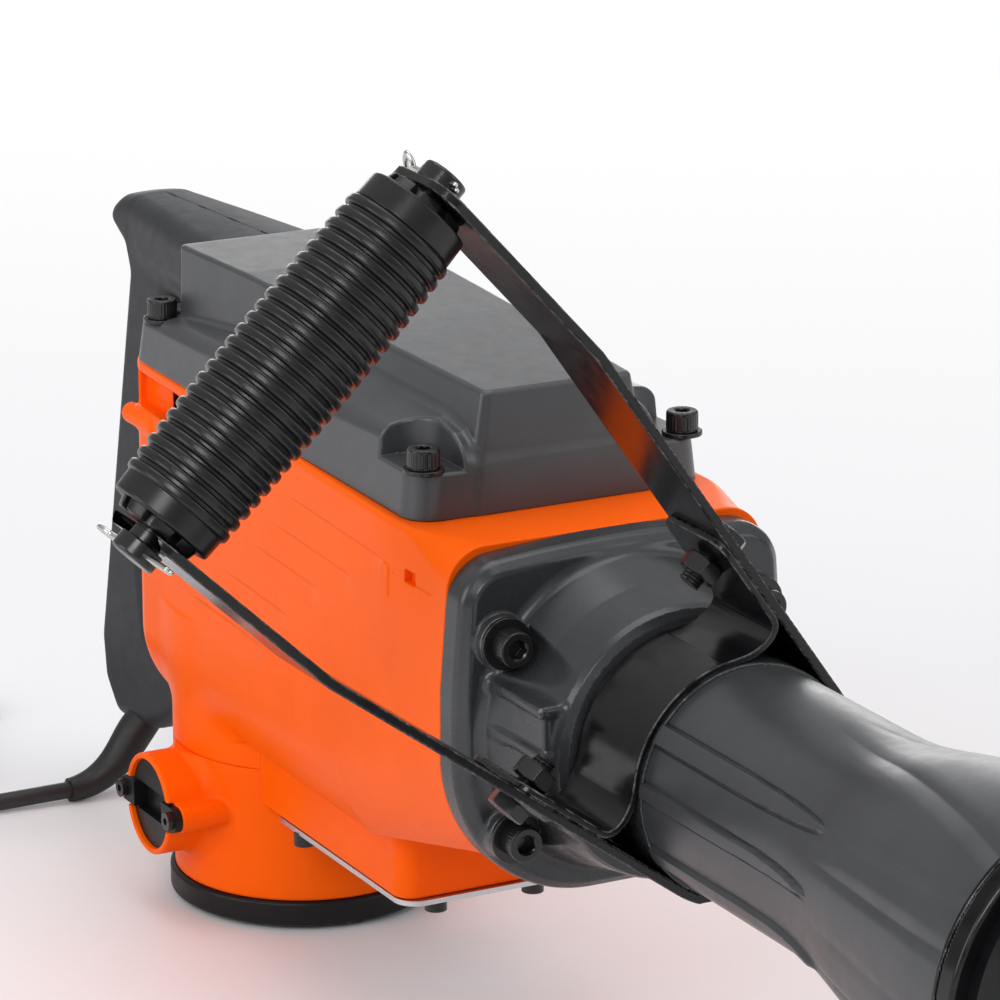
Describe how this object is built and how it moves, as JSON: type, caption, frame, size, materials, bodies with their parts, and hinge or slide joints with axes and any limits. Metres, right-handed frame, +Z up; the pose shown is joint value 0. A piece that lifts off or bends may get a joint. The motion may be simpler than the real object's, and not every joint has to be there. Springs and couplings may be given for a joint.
{
  "type": "demolition hammer",
  "caption": "Electric demolition hammer with vertical motor, gear cover, long barrel with hex tool socket, swivelling side handle, D-handle and power cord.",
  "frame": {"origin": "centre of the motor tail cover's standing face, on the floor", "axes": "+X along the tool axis towards the nose, +Z up, +Y to the tool's left as seen from behind"},
  "size_m": [0.87, 0.2961, 0.3785],
  "materials": {
    "black_metal": "semi-gloss",
    "black_plastic": "matte",
    "grey_plastic": "satin",
    "orange_cast": "gloss paint",
    "grey_cast": "satin paint",
    "bare_aluminium": "machined",
    "steel": "machined",
    "dark_steel": "black oxide",
    "zinc_steel": "zinc plated",
    "copper": "enamelled wire",
    "brass": "bare",
    "carbon": "matte",
    "black_rubber": "matte"
  },
  "bodies": {
    "housing": {"tail_cover": "black_plastic", "tail_cover_screws": "dark_steel", "motor_housing": "orange_cast", "brush_caps": "black_plastic", "brush_cap_screws": "dark_steel", "brush_holders": "brass", "carbon_brushes": "carbon", "brush_springs": "steel", "stator_core": "steel", "field_windings": "copper", "ball_bearings": "steel", "bearing_plate": "bare_aluminium", "cylinder_liner": "steel", "damper_ring": "black_rubber", "crankcase": "orange_cast", "bottom_plate": "bare_aluminium", "bottom_plate_screws": "dark_steel", "top_cover": "grey_cast", "top_cover_screws": "dark_steel", "cylinder_case": "grey_cast", "flange_bolts": "dark_steel", "flange_washers": "dark_steel", "barrel": "grey_cast", "nose_ring": "black_rubber", "front_cap": "grey_cast", "tool_sleeve": "steel", "handle_left_shell": "grey_plastic", "handle_right_shell": "grey_plastic", "handle_screws": "dark_steel", "switch_body": "black_plastic", "cord_boot": "black_rubber", "power_cord": "black_rubber", "cord_coil": "black_rubber", "plug": "black_plastic"},
    "armature": {"armature_core": "steel", "armature_shaft": "steel", "commutator": "brass", "cooling_fan": "grey_plastic"},
    "intermediate": {"intermediate_gear": "steel", "intermediate_shaft": "steel"},
    "crank": {"crank_gear": "steel", "crankshaft": "steel"},
    "piston_body": {"piston": "bare_aluminium", "piston_ring": "black_rubber", "wrist_pin": "steel"},
    "rod_body": {"connecting_rod": "bare_aluminium"},
    "striker_body": {"striker": "steel", "striker_rings": "black_rubber"},
    "hammer_body": {"second_hammer": "steel"},
    "trigger_body": {"trigger": "black_plastic"},
    "lock_body": {"lock_button": "black_plastic"},
    "latch": {"retainer_pin": "steel", "retainer_lever": "zinc_steel"},
    "side_handle": {"handle_strap": "black_metal", "clamp_saddle": "black_metal", "clamp_bolts": "dark_steel", "clamp_nuts": "dark_steel", "grip_rod": "dark_steel", "split_pins": "zinc_steel"},
    "grip": {"side_grip": "black_plastic"}
  },
  "joints": [
    {"name": "armature_spin", "type": "hinge", "parent": "housing", "child": "armature", "pos_m": [0, 0, 0.09], "axis": [0, 0, 1], "continuous": true},
    {"name": "intermediate_spin", "type": "hinge", "parent": "housing", "child": "intermediate", "pos_m": [0.0344, 0, 0.2], "axis": [0, 0, 1], "continuous": true},
    {"name": "crank_spin", "type": "hinge", "parent": "housing", "child": "crank", "pos_m": [0.0834, 0, 0.2], "axis": [0, 0, 1], "continuous": true},
    {"name": "piston_slide", "type": "slide", "parent": "housing", "child": "piston_body", "axis": [1, 0, 0], "range_m": [0, 0.036]},
    {"name": "rod_swing", "type": "hinge", "parent": "piston_body", "child": "rod_body", "pos_m": [0.1354, 0, 0.1525], "axis": [0, 0, 1], "range_deg": [-14, 14]},
    {"name": "striker_slide", "type": "slide", "parent": "housing", "child": "striker_body", "axis": [1, 0, 0], "range_m": [0, 0.03]},
    {"name": "hammer_slide", "type": "slide", "parent": "housing", "child": "hammer_body", "axis": [1, 0, 0], "range_m": [0, 0.012]},
    {"name": "trigger_pull", "type": "slide", "parent": "housing", "child": "trigger_body", "axis": [-1, 0, 0], "range_m": [0, 0.006], "stiffness_N_per_m": 900, "springref_m": -0.004},
    {"name": "lock_press", "type": "slide", "parent": "housing", "child": "lock_body", "axis": [0, -1, 0], "range_m": [0, 0.003], "stiffness_N_per_m": 600, "springref_m": -0.003},
    {"name": "latch_turn", "type": "hinge", "parent": "housing", "child": "latch", "pos_m": [0.58, 0, 0.1735], "axis": [0, 1, 0], "range_deg": [0, 90]},
    {"name": "side_handle_turn", "type": "hinge", "parent": "housing", "child": "side_handle", "pos_m": [0.324, 0, 0.1525], "axis": [1, 0, 0], "continuous": true},
    {"name": "grip_spin", "type": "hinge", "parent": "side_handle", "child": "grip", "pos_m": [0.324, -0.15854, 0.31215], "axis": [0, -0.7096, -0.7046], "continuous": true}
  ],
  "couplings": [
    {"joint": "intermediate_spin", "follows": "armature_spin", "ratio": -0.22222},
    {"joint": "crank_spin", "follows": "armature_spin", "ratio": 0.074074}
  ]
}
